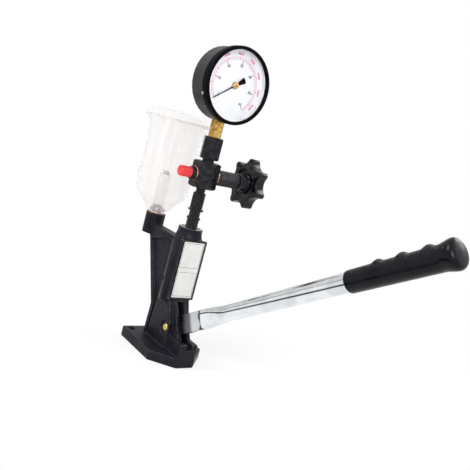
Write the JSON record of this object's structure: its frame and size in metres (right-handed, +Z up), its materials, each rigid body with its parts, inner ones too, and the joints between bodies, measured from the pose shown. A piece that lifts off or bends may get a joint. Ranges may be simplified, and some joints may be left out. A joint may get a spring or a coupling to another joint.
{
  "type": "diesel injector tester",
  "caption": "Hand-lever pump on a cast base with a clear fuel cup, shut-off valve with star knob, outlet port and round pressure gauge, for testing diesel injectors.",
  "frame": {"origin": "on the underside of the base plate, below the axis of the pump column", "axes": "+Z up along the pump column, +X to the lever and the gauge's face, -Y to the outlet, +Y to the star knob"},
  "size_m": [0.5328, 0.1344, 0.4239],
  "materials": {
    "black_enamel": "black textured enamel on grey iron",
    "black_steel": "black oxide, satin",
    "bright_zinc": "bright zinc plate, smooth",
    "yellow_zinc": "yellow zinc plate",
    "plain_steel": "machined, lightly oiled",
    "black_case_paint": "satin black paint",
    "brass": "machined",
    "copper": "soft copper washer, dull",
    "black_grip": "soft moulded, satin",
    "black_plastic": "gloss moulded",
    "red_plastic": "soft moulded",
    "clear_plastic": "milky clear",
    "gauge_glass": "clear flat glass",
    "dial_enamel": "matt white, printed scale",
    "label_paper": "matt pale plate with a black border",
    "fibre_packing": "braided packing",
    "white_nylon": "moulded, matt"
  },
  "bodies": {
    "base": {"body_casting": "black_enamel", "label_plate": "label_paper", "pivot_pin": "yellow_zinc", "retaining_ring_outlet_side": "plain_steel", "retaining_ring_knob_side": "plain_steel", "plunger_spring": "plain_steel", "upper_spring_seat": "plain_steel", "pump_barrel": "plain_steel", "barrel_locating_screw": "black_steel", "delivery_valve_seat": "plain_steel", "delivery_valve_spring": "plain_steel", "delivery_holder": "black_steel", "holder_union_nut": "black_steel", "valve_block": "black_steel", "outlet_washer": "copper", "outlet_adaptor": "black_steel", "bonnet_washer": "copper", "valve_bonnet": "black_steel", "gland_packing": "fibre_packing", "gauge_union_nut": "black_steel", "gauge_seal": "copper", "gauge_stem": "brass", "gauge_case": "black_case_paint", "gauge_bezel": "black_plastic", "bezel_screw_1": "plain_steel", "bezel_screw_2": "plain_steel", "bezel_screw_3": "plain_steel", "case_screw_lower": "plain_steel", "case_screw_upper": "plain_steel", "gauge_glass": "gauge_glass", "gauge_dial": "dial_enamel", "dial_spacer": "dial_enamel", "movement_frame": "brass", "bourdon_tube": "brass", "reservoir_washer": "copper", "reservoir_cup": "clear_plastic", "reservoir_bolt": "plain_steel", "strainer_tube": "white_nylon", "strainer_cap": "black_plastic"},
    "lever": {"lever_blade": "bright_zinc", "lever_tube": "bright_zinc", "lever_grip": "black_grip"},
    "plunger": {"tappet": "plain_steel", "lower_spring_seat": "plain_steel", "pump_plunger": "plain_steel"},
    "delivery_valve": {"delivery_valve": "plain_steel"},
    "needle": {"valve_needle": "plain_steel"},
    "knob": {"valve_spindle": "plain_steel", "star_knob": "black_plastic", "knob_nut": "plain_steel"},
    "pointer": {"gauge_pointer": "black_plastic", "pointer_boss": "brass", "pinion_spindle": "brass"},
    "sector": {"sector_gear": "brass"},
    "lid": {"reservoir_lid": "clear_plastic"},
    "plug": {"outlet_plug": "red_plastic"}
  },
  "joints": [
    {"name": "lever_pivot", "type": "hinge", "parent": "base", "child": "lever", "pos_m": [0.0185, 0, 0.0385], "axis": [0, 1, 0], "range_deg": [0, 30], "stiffness_Nm_per_rad": 1.4, "springref_deg": -57.3},
    {"name": "plunger_stroke", "type": "slide", "parent": "base", "child": "plunger", "axis": [0, 0, 1], "range_m": [0, 0.0096], "deforming": ["plunger_spring"]},
    {"name": "delivery_valve_lift", "type": "slide", "parent": "base", "child": "delivery_valve", "axis": [0, 0, 1], "range_m": [0, 0.0012], "stiffness_N_per_m": 1500, "springref_m": -0.003, "deforming": ["delivery_valve_spring"]},
    {"name": "needle_lift", "type": "slide", "parent": "base", "child": "needle", "axis": [0, 1, 0], "range_m": [0, 0.003]},
    {"name": "knob_turn", "type": "hinge", "parent": "needle", "child": "knob", "pos_m": [0, 0.0755, 0.2503], "axis": [0, 1, 0], "range_deg": [0, 720]},
    {"name": "pointer_turn", "type": "hinge", "parent": "base", "child": "pointer", "pos_m": [0.0145, 0, 0.3727], "axis": [-1, 0, 0], "range_deg": [0, 270], "stiffness_Nm_per_rad": 0.0005, "springref_deg": -34.38},
    {"name": "sector_turn", "type": "hinge", "parent": "base", "child": "sector", "pos_m": [0.003, 0, 0.3564], "axis": [1, 0, 0], "range_deg": [0, 30]},
    {"name": "lid_lift", "type": "slide", "parent": "base", "child": "lid", "axis": [0, 0, 1], "range_m": [0, 0.04]},
    {"name": "plug_pull", "type": "slide", "parent": "base", "child": "plug", "axis": [0, -1, 0], "range_m": [0, 0.02]}
  ],
  "couplings": [
    {"joint": "plunger_stroke", "follows": "lever_pivot", "m_per_rad": 0.018289},
    {"joint": "knob_turn", "follows": "needle_lift", "rad_per_m": 4188.8},
    {"joint": "sector_turn", "follows": "pointer_turn", "ratio": 0.11111}
  ]
}
